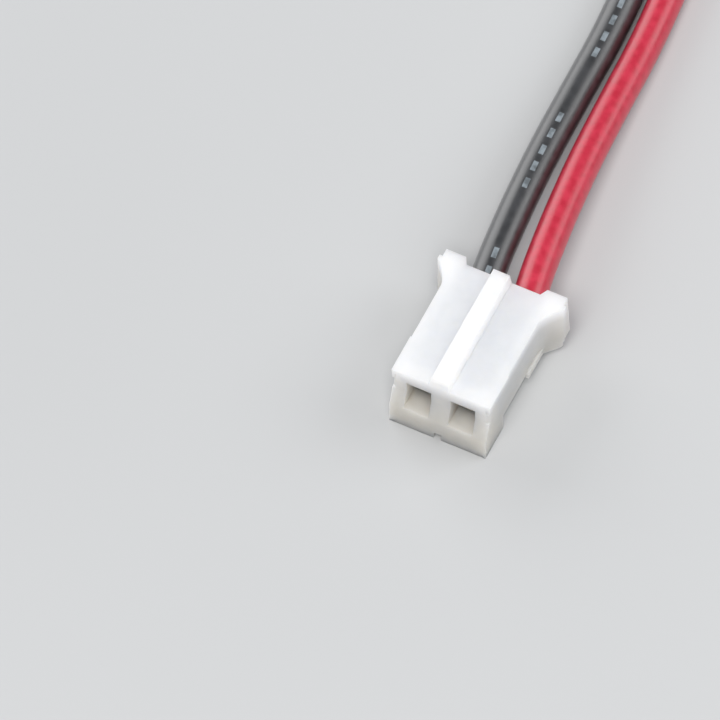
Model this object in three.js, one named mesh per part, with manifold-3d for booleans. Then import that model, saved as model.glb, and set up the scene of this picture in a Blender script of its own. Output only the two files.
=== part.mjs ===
// Single-cell lithium polymer battery pack with two leads and a two-way plug.
// The pack lies flat on z = 0 with its length along Y and its tab end at -Y. The leads leave that
// end, settle on the same surface and end in the plug, which points to -Y. Millimetres, +Z up.
// The origin is the bottom centre of the pack without its leads and plug.

import * as THREE from 'three';
import { RoundedBoxGeometry } from 'three/addons/geometries/RoundedBoxGeometry.js';
import { mergeVertices } from 'three/addons/utils/BufferGeometryUtils.js';
import Module from 'manifold-3d';

// ---- Pack, overall ----
const PACK_WIDTH = 25;
const PACK_LENGTH = 42;
const PACK_THICKNESS = 7;

// ---- Pouch, film and tape ----
const FILM = 0.15;                 // aluminium laminate
const TAPE = 0.1;                  // polyimide tape
const LAYER_GAP = 0.05;            // between two layers that lie on each other
const POUCH_CORNER = 1.3;          // drawn corner radius of the cup
const TERRACE_MARGIN = 0.5;        // sealed ledge in front of the board
const TERRACE_INSET = 0.65;        // the sealed ledge is narrower than the cup by this much on each side
const FLAP_HEIGHT = 5;             // folded side flange, from the table
const FLAP_BEND = 0.25;            // where the flange folds up
const ADHESIVE = 0.1;              // strip that holds the flange to the cup
const ADHESIVE_HEIGHT = 3;
const STACK_CLEARANCE = 0.2;       // between the electrode stack and the pouch
const TAPE_OVERLAP = 5;            // tape on the cup, behind the terrace
const TAPE_NOSE_MARGIN = 0.5;      // tape above the leads at its front edge
const TAPE_NOSE_CHAMFER = 0.25;

// ---- Tabs ----
const TAB_WIDTH = 4;
const TAB_THICKNESS = 0.1;
const TAB_SPACING = 13;            // between the tabs' centre lines
const SEAL_WIDTH = 5;
const SEAL_LENGTH = 1.6;
const SEAL_FILM = 0.06;
const SEAL_SETBACK = 1.6;          // from the terrace's edge
const TAB_ROOT = 0.4;              // the part of a tab that is inside the cup
const TAB_END_SETBACK = 0.4;       // from the board's back edge to the folded tab's end
const FOLD_CLEARANCE = 0.15;       // between the folded tabs and the tape's front
const TAB_CLEARANCE = 0.1;         // between the folded tabs and the terrace's edge

// ---- Protection board and what is on it ----
const PAPER = 0.15;
const PAPER_OVERHANG = 0.5;        // past each end of the board
const BOARD_WIDTH = 20;
const BOARD_DEPTH = 3.2;
const BOARD_THICKNESS = 0.8;
const BOARD_CLEARANCE = 0.3;       // between the board and the cup
const WELD_PLATE = { width: 3.4, depth: 2.6, thickness: 0.15 };
const PROTECTION_IC = { width: 2.9, depth: 1.6, body: 1.0, height: 1.0 };
const POWER_SWITCH = { width: 3.0, depth: 2.2, body: 1.36, height: 0.9 };
const CHIP_LEG = { width: 0.34, height: 0.2, standoff: 0.1 };
const CHIP_RESISTOR = { width: 1.0, depth: 0.55, height: 0.35 };
const CHIP_CAPACITOR = { width: 1.0, depth: 0.55, height: 0.55 };
const END_CAP = { width: 0.22, step: 0.03 };
const IC_X = 5.3;
const SWITCH_X = -5.5;
const CHIP_X = 8.3;
const PAD_SPACING = 3.2;           // between the two leads where they are soldered
const SOLDER = { width: 2.0, depth: 1.5, height: 1.05, crown: 0.9, waist: 1.64, waistHeight: 0.47 };
const SOLDER_SETBACK = 0.2;        // from the board's back edge
const JACKET_ON_BOARD = 0.5;       // the lead's jacket reaches this far over the board

// ---- Leads ----
const LEAD_DIAMETER = 1.43;
const STRAND_DIAMETER = 0.6;
const STRIP_LENGTH = 1.9;          // bare end at the board
const LEAD_SIDES = 8;
const LEAD_STEPS = 26;
const HOLE_CLEARANCE = 0.12;       // around a lead where it passes through the tape

// ---- Plug housing ----
const PITCH = 2;
const PLUG_LENGTH = 5.95;          // front face to the middle of the back edge
const SIDE_WALL = 0.365;
const FLOOR_WALL = 0.95;
const ROOF_WALL = 0.48;
const CAVITY_CLEARANCE = 0.12;     // beside the lead
const CAVITY_HEADROOM = 0.27;      // above the lead
const MOUTH_WIDTH = 1.13;          // front opening for the mating pin
const MOUTH_HEIGHT = 1.5;
const MOUTH_WALL = 0.85;           // thickness of the front wall
const MOUTH_DROP = 0.14;           // the front opening's top edge, below the cavity's roof
const RIB = { offset: -0.08, base: 0.94, top: 0.74, height: 0.52, nose: 0.28, noseSteps: 4 };
const EAR = { reach: 0.7, back: 0.34, flareStart: 4.62, flareEnd: 5.72, tipEnd: 5.92,
  tipStep: 0.14, gap: 3.36, gapSlant: 0.18, skirt: 0.45, lift: 0.13 };
const EAR_CURVE = { out: 0.08, along: 0.5 };            // where the flare bends most
const WEB = { start: 5.0, end: 5.78, inset: 0.07, nose: 0.16 };
const PAD = { length: 1.8, proud: 0.05, height: 0.55 };
const FRONT_CHAMFER = 0.17;        // on the upright front edges, below the pads
const CHIN = { reach: 0.31, slopeTop: 1.25, slopeBottom: 2.25, boss: 1.38 };
const UNDERCUT = 0.24;             // the lower part of the sides stands back by this much
const LEDGE = { start: 3.55, end: 5.02, proud: 0.12, height: 0.35, rise: 0.15 };
const SLIT = { width: 0.33, height: 0.38 };
const WINDOW = { width: 1.0, start: 2.3, length: 1.7 };

// ---- Contacts ----
const CONTACT_METAL = 0.15;
const CONTACT_GAP = 0.05;
const CONTACT_SIDE_GAP = 0.15;
const CONTACT_BOX_LENGTH = 2.4;
const TONGUE = { width: 0.6, start: 0.3, lowest: 1.2, dip: 0.35, endSetback: 0.2 };
const LANCE = { width: 0.6, start: 0.4, endSetback: 0.3, drop: 0.3, tip: 0.05 };
const STRIP_WIDTH = 0.68;          // the flat strip behind the spring box
const CRIMP = { start: 3.75, length: 0.75, wall: 0.1, post: 0.5 };
const GRIP = { start: 5.0, length: 0.7, wall: 0.1, open: 0.62 };
const STRAND_START = 3.6;          // the plug end of the bare strands
const INSULATION_START = 4.7;      // the plug end of the insulation
const PIECE_GAP = 0.05;            // between two pieces that meet end to end

// ---- Joining and cutting ----
const BITE = 0.1;                  // a shape that is joined to another reaches this far into it
const REACH = 1;                   // a shape that cuts another reaches this far past it
const JOIN = 0.05;                 // a bent tongue of thin metal reaches this far into its sheet

// ---- Route of the leads ----
// One row for each point: distance in front of the pack, sideways place of the pair's middle,
// height of the leads' underside above the table, and half the gap between the two leads.
const EXIT_X = 0;
const PLUG_X = 5.2;
const PLUG_DISTANCE = 45;          // from the tape's front to the middle of the plug's back edge
const ROUTE = [
  [1.5, 0, 2.12, 0.865],
  [4, 0.06, 1.72, 0.785],
  [7, 0.24, 1.02, 0.625],
  [10, 0.6, 0.4, 0.445],
  [13, 1.1, 0.08, 0.305],
  [16, 1.7, 0.02, 0.205],
  [19, 2.32, 0.02, 0.145],
  [22, 2.9, 0.02, 0.105],
  [25, 3.4, 0.02, 0.085],
  [28, 3.78, 0.04, 0.085],
  [31, 4.02, 0.15, 0.095],
  [34, 4.15, 0.42, 0.115],
  [37, 4.31, 0.72, 0.145],
  [39, 4.47, 0.9, 0.175],
  [41, 4.67, 1.04, 0.205],
  [43, 4.915, 1.14, 0.24],
];

// ---- Worked out from the sizes above ----
const LEAD_RADIUS = LEAD_DIAMETER / 2;
const CAVITY_WIDTH = LEAD_DIAMETER + 2 * CAVITY_CLEARANCE;
const GRIP_FLOOR = FLOOR_WALL + CONTACT_GAP + CONTACT_METAL;
const PLUG_LEAD_Z = GRIP_FLOOR + CONTACT_GAP + LEAD_RADIUS;
const CAVITY_TOP = PLUG_LEAD_Z + LEAD_RADIUS + CAVITY_HEADROOM;
const PLUG_HEIGHT = CAVITY_TOP + ROOF_WALL;
const BODY_HALF = (PITCH + CAVITY_WIDTH) / 2 + SIDE_WALL;

const PACK_FRONT = -PACK_LENGTH / 2;
const COVER_Z = TAPE + LAYER_GAP;
const TAB_Z = COVER_Z + FILM + LAYER_GAP + SEAL_FILM + LAYER_GAP;
const TERRACE_Z = TAB_Z + TAB_THICKNESS + LAYER_GAP + SEAL_FILM + LAYER_GAP;
const PAPER_Z = TERRACE_Z + FILM + LAYER_GAP;
const FOLD_Z = PAPER_Z + PAPER + LAYER_GAP;
const PLATE_Z = FOLD_Z + TAB_THICKNESS + LAYER_GAP;
const BOARD_Z = PLATE_Z + WELD_PLATE.thickness + LAYER_GAP;
const BOARD_TOP = BOARD_Z + BOARD_THICKNESS;
const LEAD_LIFT = BOARD_TOP + LAYER_GAP;
const PACK_LEAD_Z = LEAD_LIFT + LEAD_RADIUS;
const FLAP_X = PACK_WIDTH / 2 - TAPE - LAYER_GAP;
const CUP_X = FLAP_X - FILM - 2 * LAYER_GAP - ADHESIVE;
const CUP_TOP = PACK_THICKNESS - TAPE - LAYER_GAP;
const FOLD_FRONT = PACK_FRONT + TAPE + FOLD_CLEARANCE;
const TERRACE_FRONT = FOLD_FRONT + TAB_THICKNESS + TAB_CLEARANCE;
const CUP_FRONT = TERRACE_FRONT + TERRACE_MARGIN + BOARD_DEPTH + BOARD_CLEARANCE;
const CUP_BACK = PACK_LENGTH / 2;
const BOARD_BACK = CUP_FRONT - BOARD_CLEARANCE;
const BOARD_FRONT = BOARD_BACK - BOARD_DEPTH;
const BOARD_MIDDLE = (BOARD_FRONT + BOARD_BACK) / 2;
const SOLDER_BACK = BOARD_BACK - SOLDER_SETBACK;

// ---- Solids ----

const wasm = await Module();
wasm.setup();

// Turns a closed geometry into a solid that can be joined and cut.
function solid(geometry) {
  const bare = geometry.clone();
  bare.deleteAttribute('normal');
  bare.deleteAttribute('uv');
  const merged = mergeVertices(bare, 1e-5);
  const mesh = new wasm.Mesh({
    numProp: 3,
    vertProperties: new Float32Array(merged.attributes.position.array),
    triVerts: new Uint32Array(merged.index.array),
  });
  return new wasm.Manifold(mesh);
}

// Turns a solid back into a geometry.
function geometryOf(body) {
  const mesh = body.getMesh();
  const geometry = new THREE.BufferGeometry();
  geometry.setAttribute('position', new THREE.BufferAttribute(mesh.vertProperties, 3));
  geometry.setIndex(new THREE.BufferAttribute(mesh.triVerts, 1));
  geometry.computeVertexNormals();
  return geometry;
}

// A block between two corners.
function block(x0, x1, y0, y1, z0, z1) {
  const geometry = new THREE.BoxGeometry(x1 - x0, y1 - y0, z1 - z0);
  geometry.translate((x0 + x1) / 2, (y0 + y1) / 2, (z0 + z1) / 2);
  return solid(geometry);
}

// A block with rounded edges, between two corners.
function softBlock(x0, x1, y0, y1, z0, z1, radius) {
  const geometry = new RoundedBoxGeometry(x1 - x0, y1 - y0, z1 - z0, 3, radius);
  geometry.translate((x0 + x1) / 2, (y0 + y1) / 2, (z0 + z1) / 2);
  return solid(geometry);
}

// An outline in XY, raised from z0 to z1.
function raise(shape, z0, z1) {
  const settings = { depth: z1 - z0, bevelEnabled: false, curveSegments: 6 };
  const geometry = new THREE.ExtrudeGeometry(shape, settings);
  geometry.translate(0, 0, z0);
  return solid(geometry);
}

// A list of [y, z] points, drawn out along X from x0 to x1.
function drawAlongX(points, x0, x1) {
  const shape = new THREE.Shape(points.map(([y, z]) => new THREE.Vector2(y, z)));
  const geometry = new THREE.ExtrudeGeometry(shape, { depth: x1 - x0, bevelEnabled: false });
  const alongY = new THREE.Vector3(0, 1, 0);
  const alongZ = new THREE.Vector3(0, 0, 1);
  const alongX = new THREE.Vector3(1, 0, 0);
  geometry.applyMatrix4(new THREE.Matrix4().makeBasis(alongY, alongZ, alongX));
  geometry.translate(x0, 0, 0);
  return solid(geometry);
}

// A list of [x, z] points, drawn out along Y from y0 to y1.
function drawAlongY(points, y0, y1) {
  const shape = new THREE.Shape(points.map(([x, z]) => new THREE.Vector2(x, z)));
  const geometry = new THREE.ExtrudeGeometry(shape, { depth: y1 - y0, bevelEnabled: false });
  geometry.rotateX(Math.PI / 2);
  geometry.translate(0, y1, 0);
  return solid(geometry);
}

// A round bar along Y.
function barAlongY(x, z, radius, y0, y1, sides = 24) {
  const geometry = new THREE.CylinderGeometry(radius, radius, y1 - y0, sides);
  geometry.translate(x, (y0 + y1) / 2, z);
  return solid(geometry);
}

const pack = new THREE.Group();

function add(name, geometry, look, parent = pack) {
  const material = new THREE.MeshStandardMaterial(look);
  const mesh = new THREE.Mesh(geometry, material);
  mesh.name = name;
  parent.add(mesh);
}

const LAMINATE = { color: 0xc4c7ca, roughness: 0.32, metalness: 0.9 };
const POLYIMIDE = { color: 0xb5701c, roughness: 0.25, metalness: 0 };
const PAPER_LOOK = { color: 0xd9d2bd, roughness: 0.9, metalness: 0 };
const NICKEL = { color: 0xb9b6ae, roughness: 0.35, metalness: 1 };
const TINNED = { color: 0xc9c9c6, roughness: 0.3, metalness: 1 };
const CHIP_BLACK = { color: 0x1c1d20, roughness: 0.5, metalness: 0 };
const NYLON = { color: 0xeef0f4, roughness: 0.42, metalness: 0 };
const STACK_LOOK = { color: 0x3a3b3d, roughness: 0.8, metalness: 0.2 };
const BOARD_GREEN = { color: 0x1d5a34, roughness: 0.45, metalness: 0 };
const CERAMIC = { color: 0x8a6a48, roughness: 0.5, metalness: 0 };
const RED = { color: 0xc22742, roughness: 0.4, metalness: 0 };
const BLACK = { color: 0x2b2c2e, roughness: 0.42, metalness: 0 };

// ---- Pouch ----

// Drawn half of the laminate: a tray turned upside down, with a sealed ledge at the tab end.
function pouchCup() {
  const rim = COVER_Z + FILM + LAYER_GAP;
  const below = rim - 2 * POUCH_CORNER;
  const outer = softBlock(-CUP_X, CUP_X, CUP_FRONT, CUP_BACK, below, CUP_TOP, POUCH_CORNER);
  const inner = softBlock(-CUP_X + FILM, CUP_X - FILM, CUP_FRONT + FILM, CUP_BACK - FILM,
    below, CUP_TOP - FILM, POUCH_CORNER - FILM);
  const trim = block(-PACK_WIDTH, PACK_WIDTH, -PACK_LENGTH, PACK_LENGTH, -PACK_THICKNESS, rim);
  const slotBack = CUP_FRONT + 2 * POUCH_CORNER;
  const tabSlot = block(-PACK_WIDTH, PACK_WIDTH, CUP_FRONT - FILM, slotBack, rim - FILM, TERRACE_Z);
  const ledgeX = CUP_X - TERRACE_INSET;
  const ledge = block(-ledgeX, ledgeX, TERRACE_FRONT, CUP_FRONT + FILM, TERRACE_Z, TERRACE_Z + FILM);
  return outer.add(ledge).subtract(inner).subtract(trim).subtract(tabSlot);
}

// Flat half of the laminate, with its side flanges folded up against the cup.
function pouchCover() {
  const inside = FLAP_X - FILM;
  const flat = FLAP_X - FLAP_BEND;
  const bendTop = COVER_Z + FLAP_BEND;
  const outline = [[-FLAP_X, FLAP_HEIGHT], [-FLAP_X, bendTop], [-flat, COVER_Z], [flat, COVER_Z],
    [FLAP_X, bendTop], [FLAP_X, FLAP_HEIGHT], [inside, FLAP_HEIGHT], [inside, bendTop],
    [flat, COVER_Z + FILM], [-flat, COVER_Z + FILM], [-inside, bendTop], [-inside, FLAP_HEIGHT]];
  const channel = drawAlongY(outline, TERRACE_FRONT, CUP_BACK - FILM);
  const overTerrace = block(-PACK_WIDTH, PACK_WIDTH, TERRACE_FRONT - REACH, CUP_FRONT,
    COVER_Z + FILM, PACK_THICKNESS);
  return channel.subtract(overTerrace);
}

function electrodeStack() {
  const x = CUP_X - FILM - STACK_CLEARANCE;
  const front = CUP_FRONT + FILM + STACK_CLEARANCE;
  const back = CUP_BACK - FILM - STACK_CLEARANCE;
  const bottom = COVER_Z + FILM + LAYER_GAP;
  const top = CUP_TOP - FILM - STACK_CLEARANCE;
  return softBlock(-x, x, front, back, bottom, top, POUCH_CORNER);
}

function adhesiveStrip(side) {
  const inner = CUP_X + LAYER_GAP;
  const [x0, x1] = side < 0 ? [-inner - ADHESIVE, -inner] : [inner, inner + ADHESIVE];
  const bottom = COVER_Z + POUCH_CORNER;
  return block(x0, x1, CUP_FRONT + POUCH_CORNER, CUP_BACK - POUCH_CORNER, bottom, bottom + ADHESIVE_HEIGHT);
}

// ---- Tabs ----

// The tab leaves the stack, passes through the seal and folds back under the board.
function tab(x) {
  const start = CUP_FRONT + TAB_ROOT;
  const end = BOARD_BACK - TAB_END_SETBACK;
  const bend = FOLD_FRONT;
  const inside = bend + TAB_THICKNESS;
  const outline = [[start, TAB_Z], [bend, TAB_Z], [bend, FOLD_Z + TAB_THICKNESS],
    [end, FOLD_Z + TAB_THICKNESS], [end, FOLD_Z], [inside, FOLD_Z],
    [inside, TAB_Z + TAB_THICKNESS], [start, TAB_Z + TAB_THICKNESS]];
  return drawAlongX(outline, x - TAB_WIDTH / 2, x + TAB_WIDTH / 2);
}

function tabSeal(x) {
  const y0 = TERRACE_FRONT + SEAL_SETBACK;
  const y1 = y0 + SEAL_LENGTH;
  const bottom = TAB_Z - LAYER_GAP - SEAL_FILM;
  const top = TAB_Z + TAB_THICKNESS + LAYER_GAP + SEAL_FILM;
  const sleeve = block(x - SEAL_WIDTH / 2, x + SEAL_WIDTH / 2, y0, y1, bottom, top);
  const half = TAB_WIDTH / 2 + LAYER_GAP;
  const slot = block(x - half, x + half, y0 - REACH, y1 + REACH,
    TAB_Z - LAYER_GAP, TAB_Z + TAB_THICKNESS + LAYER_GAP);
  return sleeve.subtract(slot);
}

// ---- Protection board ----

function insulatingPaper() {
  const half = BOARD_WIDTH / 2 + PAPER_OVERHANG;
  return block(-half, half, BOARD_FRONT, BOARD_BACK, PAPER_Z, PAPER_Z + PAPER);
}

function protectionBoard() {
  return block(-BOARD_WIDTH / 2, BOARD_WIDTH / 2, BOARD_FRONT, BOARD_BACK, BOARD_Z, BOARD_TOP);
}

function weldPlate(x) {
  const { width, depth, thickness } = WELD_PLATE;
  return block(x - width / 2, x + width / 2, BOARD_MIDDLE - depth / 2, BOARD_MIDDLE + depth / 2,
    PLATE_Z, PLATE_Z + thickness);
}

// A chip with a row of legs on its front and back sides.
function chip({ width, depth, body, height }, x, legs) {
  const bottom = BOARD_TOP + LAYER_GAP;
  const half = CHIP_LEG.width / 2;
  let piece = block(x - width / 2, x + width / 2, BOARD_MIDDLE - body / 2, BOARD_MIDDLE + body / 2,
    bottom + CHIP_LEG.standoff, bottom + height);
  for (let i = 0; i < legs; i += 1) {
    const centre = x + width * ((i + 0.5) / legs - 0.5);
    piece = piece.add(block(centre - half, centre + half, BOARD_MIDDLE - depth / 2, BOARD_MIDDLE + depth / 2,
      bottom, bottom + CHIP_LEG.height));
  }
  return piece;
}

// A two-ended chip part, with end caps slightly larger than its middle.
function chipPart({ width, depth, height }, x) {
  const bottom = BOARD_TOP + LAYER_GAP;
  const { width: cap, step } = END_CAP;
  const y0 = BOARD_MIDDLE - depth / 2;
  const y1 = BOARD_MIDDLE + depth / 2;
  const left = block(x - width / 2, x - width / 2 + cap, y0, y1, bottom, bottom + height);
  const right = block(x + width / 2 - cap, x + width / 2, y0, y1, bottom, bottom + height);
  const middle = block(x - width / 2, x + width / 2, y0 + step, y1 - step,
    bottom + step, bottom + height - step);
  return left.add(right).add(middle);
}

// A mound of solder around the bare end of a lead.
function solderJoint(x) {
  const { width, depth, height, crown, waist, waistHeight } = SOLDER;
  const bottom = BOARD_TOP + LAYER_GAP;
  const outline = [[x - width / 2, bottom], [x + width / 2, bottom],
    [x + waist / 2, bottom + waistHeight], [x + crown / 2, bottom + height],
    [x - crown / 2, bottom + height], [x - waist / 2, bottom + waistHeight]];
  const mound = drawAlongY(outline, SOLDER_BACK - depth, SOLDER_BACK);
  const channel = barAlongY(x, PACK_LEAD_Z, STRAND_DIAMETER / 2 + LAYER_GAP,
    SOLDER_BACK - depth - REACH, SOLDER_BACK + REACH);
  return mound.subtract(channel);
}

// ---- Tape around the board end ----

// One sheet of tape from the cup's top over the board to the cup's underside, closed at the sides.
function tapeProfile(inset) {
  const back = CUP_FRONT + TAPE_OVERLAP;
  const front = PACK_FRONT + inset;
  const top = PACK_THICKNESS - inset;
  const nose = PACK_LEAD_Z + LEAD_RADIUS + TAPE_NOSE_MARGIN - inset / 2;
  return [[back, inset], [front + TAPE_NOSE_CHAMFER, inset], [front, inset + TAPE_NOSE_CHAMFER],
    [front, nose - TAPE_NOSE_CHAMFER], [front + TAPE_NOSE_CHAMFER, nose],
    [CUP_FRONT + inset / 2, top], [back, top]];
}

function boardTape() {
  const half = PACK_WIDTH / 2;
  const outer = drawAlongX(tapeProfile(0), -half, half);
  const inner = drawAlongX(tapeProfile(TAPE), -half + TAPE, half - TAPE);
  const back = CUP_FRONT + TAPE_OVERLAP;
  const mouth = block(-half + TAPE, half - TAPE, back - REACH, back + REACH, TAPE, PACK_THICKNESS - TAPE);
  let tape = outer.subtract(inner).subtract(mouth);
  for (const side of [-1, 1]) {
    const x = EXIT_X + side * PAD_SPACING / 2;
    const radius = LEAD_RADIUS + HOLE_CLEARANCE;
    const hole = barAlongY(x, PACK_LEAD_Z, radius, PACK_FRONT - REACH, PACK_FRONT + REACH);
    tape = tape.subtract(hole);
  }
  return tape;
}

// ---- Plug housing, with y = 0 at its front face ----

// Half of the outline seen from above, from the front face to the middle of the back edge.
function earOutline(side) {
  const ear = BODY_HALF + EAR.reach;
  const back = PLUG_LENGTH + EAR.back;
  const shape = new THREE.Shape();
  shape.moveTo(0, 0);
  shape.lineTo(side * BODY_HALF, 0);
  shape.lineTo(side * BODY_HALF, EAR.flareStart);
  const bendX = BODY_HALF + EAR_CURVE.out;
  const bendY = EAR.flareStart + EAR_CURVE.along;
  shape.quadraticCurveTo(side * bendX, bendY, side * ear, EAR.flareEnd);
  shape.lineTo(side * ear, back);
  shape.lineTo(side * (EAR.gap / 2 + EAR.gapSlant), back);
  shape.lineTo(side * EAR.gap / 2, PLUG_LENGTH);
  shape.lineTo(0, PLUG_LENGTH);
  return shape;
}

// The sloped web under the front of an ear.
function earWeb(side) {
  const shape = new THREE.Shape();
  const outside = BODY_HALF + EAR.reach - WEB.inset;
  shape.moveTo(side * (BODY_HALF - UNDERCUT), WEB.start);
  shape.lineTo(side * BODY_HALF, WEB.start);
  shape.lineTo(side * (outside - WEB.inset), WEB.end - WEB.nose);
  shape.lineTo(side * outside, WEB.end);
  shape.lineTo(side * (BODY_HALF - UNDERCUT), WEB.end);
  return shape;
}

// What the back of an ear's outer side loses: nothing at its foot, and the most at its top.
function earTaper(side) {
  const ear = BODY_HALF + EAR.reach;
  const foot = FLOOR_WALL + EAR.lift;
  const over = PLUG_HEIGHT + REACH;
  const outline = [[side * ear, foot], [side * (ear + REACH), foot], [side * (ear + REACH), over],
    [side * (ear - EAR.tipStep), over], [side * (ear - EAR.tipStep), PLUG_HEIGHT]];
  return drawAlongY(side < 0 ? outline.reverse() : outline, EAR.tipEnd, PLUG_LENGTH + REACH);
}

// The raised key on the roof: sloped flanks and a rounded nose.
function keyRib() {
  const z = PLUG_HEIGHT;
  const outline = [[RIB.offset - RIB.base / 2, z - BITE], [RIB.offset + RIB.base / 2, z - BITE],
    [RIB.offset + RIB.base / 2, z], [RIB.offset + RIB.top / 2, z + RIB.height],
    [RIB.offset - RIB.top / 2, z + RIB.height], [RIB.offset - RIB.base / 2, z]];
  const rib = drawAlongY(outline, 0, PLUG_LENGTH);
  const cut = [[-REACH, z + RIB.height + REACH], [-REACH, z], [0, z], [0, z + RIB.height - RIB.nose]];
  for (let i = 1; i <= RIB.noseSteps; i += 1) {
    const angle = (i / RIB.noseSteps) * Math.PI / 2;
    cut.push([RIB.nose * (1 - Math.cos(angle)), z + RIB.height - RIB.nose * (1 - Math.sin(angle))]);
  }
  cut.push([RIB.nose, z + RIB.height + REACH]);
  const noseCut = drawAlongX(cut, -BODY_HALF, BODY_HALF);
  return rib.subtract(noseCut);
}

// The pad at the front of a side: it stands proud at the roof and runs out downwards.
function pad(side) {
  const top = PLUG_HEIGHT;
  const outline = [[side * (BODY_HALF - BITE), top - PAD.height], [side * BODY_HALF, top - PAD.height],
    [side * (BODY_HALF + PAD.proud), top], [side * (BODY_HALF - BITE), top]];
  return drawAlongY(side < 0 ? outline.reverse() : outline, 0, PAD.length);
}

// The wedge cut off an upright front edge, between the chin and the pad.
function frontChamfer(side) {
  const shape = new THREE.Shape();
  shape.moveTo(side * (BODY_HALF - FRONT_CHAMFER), 0);
  shape.lineTo(side * (BODY_HALF - FRONT_CHAMFER), -REACH);
  shape.lineTo(side * (BODY_HALF + REACH), -REACH);
  shape.lineTo(side * (BODY_HALF + REACH), FRONT_CHAMFER);
  shape.lineTo(side * BODY_HALF, FRONT_CHAMFER);
  return raise(shape, PLUG_HEIGHT - CHIN.slopeTop, PLUG_HEIGHT - PAD.height / 2);
}

function plugHousing() {
  const shelf = FLOOR_WALL;
  const lower = BODY_HALF - UNDERCUT;
  const top = PLUG_HEIGHT;
  let body = block(-lower, lower, BITE, PLUG_LENGTH, 0, shelf + BITE);
  for (const side of [-1, 1]) {
    body = body.add(raise(earOutline(side), shelf, top));
    body = body.add(raise(earWeb(side), shelf - EAR.skirt, shelf + BITE));
    const ledge = BODY_HALF + LEDGE.proud;
    const [x0, x1] = side < 0 ? [-ledge, -lower] : [lower, ledge];
    const ledgeTop = shelf + LEDGE.rise;
    body = body.add(block(x0, x1, LEDGE.start, LEDGE.end, ledgeTop - LEDGE.height, ledgeTop));
    const [e0, e1] = side < 0 ? [-BODY_HALF - REACH, -BODY_HALF] : [BODY_HALF, BODY_HALF + REACH];
    const underEar = block(e0, e1, WEB.end, PLUG_LENGTH + REACH, shelf - BITE, shelf + EAR.lift);
    body = body.subtract(underEar).subtract(earTaper(side)).subtract(frontChamfer(side)).add(pad(side));
  }
  const chin = drawAlongX([[BITE, top - CHIN.slopeTop], [0, top - CHIN.slopeTop],
    [-CHIN.reach, top - CHIN.slopeBottom], [-CHIN.reach, 0], [CHIN.boss, 0], [CHIN.boss, shelf + BITE],
    [BITE, shelf + BITE]], -BODY_HALF, BODY_HALF);
  body = body.add(chin).add(keyRib());

  for (const side of [-1, 1]) {
    const x = side * PITCH / 2;
    const half = CAVITY_WIDTH / 2;
    const cavity = block(x - half, x + half, MOUTH_WALL, PLUG_LENGTH + REACH, FLOOR_WALL, CAVITY_TOP);
    const mouthTop = CAVITY_TOP - MOUTH_DROP;
    const mouth = block(x - MOUTH_WIDTH / 2, x + MOUTH_WIDTH / 2, -REACH, MOUTH_WALL + BITE,
      mouthTop - MOUTH_HEIGHT, mouthTop);
    const window = block(x - WINDOW.width / 2, x + WINDOW.width / 2,
      WINDOW.start, WINDOW.start + WINDOW.length, -REACH, FLOOR_WALL + BITE);
    body = body.subtract(cavity).subtract(mouth).subtract(window);
  }
  const slit = block(-SLIT.width / 2, SLIT.width / 2, -REACH, PLUG_LENGTH + REACH, -REACH, SLIT.height);
  return body.subtract(slit);
}

// ---- Contacts, in the plug's own frame ----

// A stamped contact: spring box at the front, crimp on the strands, cradle under the insulation.
function contact(x) {
  const z0 = FLOOR_WALL + CONTACT_GAP;
  const z1 = CAVITY_TOP - CONTACT_GAP;
  const half = CAVITY_WIDTH / 2 - CONTACT_SIDE_GAP;
  const front = MOUTH_WALL + CONTACT_GAP;
  const boxEnd = front + CONTACT_BOX_LENGTH;
  const roof = z1 - CONTACT_METAL;
  const outer = block(x - half, x + half, front, boxEnd, z0, z1);
  const hollow = block(x - half + CONTACT_METAL, x + half - CONTACT_METAL, front - REACH, boxEnd + REACH,
    z0 + CONTACT_METAL, roof);
  const tongue = drawAlongX([[front + TONGUE.start, roof + JOIN], [front + TONGUE.lowest, roof - TONGUE.dip],
    [boxEnd - TONGUE.endSetback, roof + JOIN]], x - TONGUE.width / 2, x + TONGUE.width / 2);
  const strip = block(x - STRIP_WIDTH / 2, x + STRIP_WIDTH / 2, boxEnd - BITE, GRIP.start + GRIP.length,
    z0, z0 + CONTACT_METAL);
  const lanceEnd = WINDOW.start + WINDOW.length - LANCE.endSetback;
  const lance = drawAlongX([[WINDOW.start + LANCE.start, z0 + JOIN], [lanceEnd, z0 - LANCE.drop],
    [lanceEnd + LANCE.tip, z0 + JOIN]], x - LANCE.width / 2, x + LANCE.width / 2);

  const inner = STRAND_DIAMETER / 2 + LAYER_GAP;
  const crimpEnd = CRIMP.start + CRIMP.length;
  const post = block(x - CRIMP.post / 2, x + CRIMP.post / 2, CRIMP.start, crimpEnd, z0, PLUG_LEAD_Z);
  const ring = barAlongY(x, PLUG_LEAD_Z, inner + CRIMP.wall, CRIMP.start, crimpEnd);
  const bore = barAlongY(x, PLUG_LEAD_Z, inner, CRIMP.start - REACH, crimpEnd + REACH);

  const gripInner = LEAD_RADIUS + LAYER_GAP;
  const gripEnd = GRIP.start + GRIP.length;
  const cradle = barAlongY(x, PLUG_LEAD_Z, gripInner + GRIP.wall, GRIP.start, gripEnd);
  const cradleBore = barAlongY(x, PLUG_LEAD_Z, gripInner, GRIP.start - REACH, gripEnd + REACH);
  const above = block(x - PITCH, x + PITCH, GRIP.start - REACH, gripEnd + REACH,
    PLUG_LEAD_Z - gripInner * GRIP.open, PLUG_LEAD_Z + PITCH);

  return outer.subtract(hollow).add(tongue).add(strip).add(lance).add(post).add(ring).subtract(bore)
    .add(cradle.subtract(above)).subtract(cradleBore);
}

function plugStrands(x) {
  return barAlongY(x, PLUG_LEAD_Z, STRAND_DIAMETER / 2, STRAND_START, INSULATION_START - PIECE_GAP, 10);
}

// ---- Leads ----

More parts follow.
